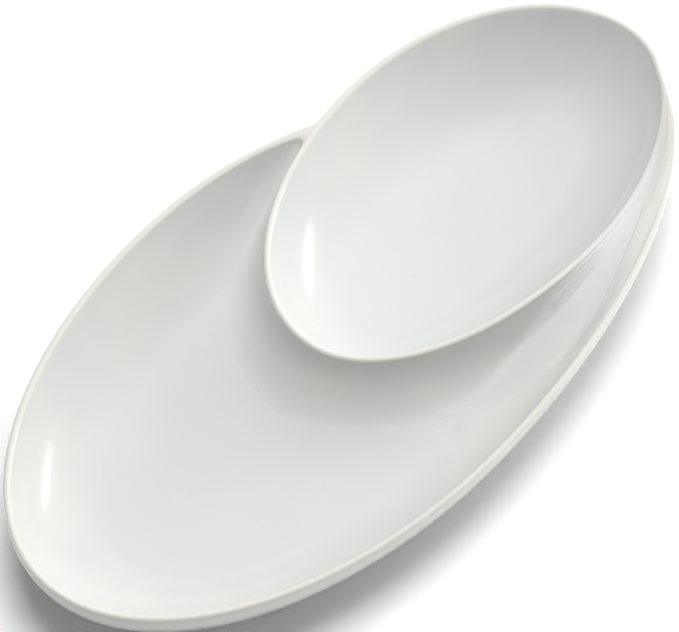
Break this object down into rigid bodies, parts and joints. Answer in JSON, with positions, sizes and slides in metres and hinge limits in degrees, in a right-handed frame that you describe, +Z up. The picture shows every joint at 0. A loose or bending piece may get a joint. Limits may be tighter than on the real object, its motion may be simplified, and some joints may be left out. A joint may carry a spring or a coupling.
{
  "type": "chip and dip server",
  "caption": "Shallow oval serving dish with a smaller oval dip bowl set into one end, in glossy white ware, standing on low foot rings.",
  "frame": {"origin": "on the table, under the middle of the overall length and width", "axes": "+X along the long way towards the dip bowl, +Y towards the side with the notch between the rims, +Z up"},
  "size_m": [0.4018, 0.1958, 0.042],
  "materials": {
    "glazed_ware": "clear gloss glaze over white porcelain",
    "bare_foot": "glazed sides, wiped bare and ground smooth where it stands"
  },
  "bodies": {
    "root": {"chip_dish": "glazed_ware", "dip_bowl": "glazed_ware", "divider_flare": "glazed_ware", "tail_ramp": "glazed_ware", "rim_web": "glazed_ware", "dish_foot": "bare_foot", "bowl_foot": "bare_foot"}
  },
  "joints": []
}
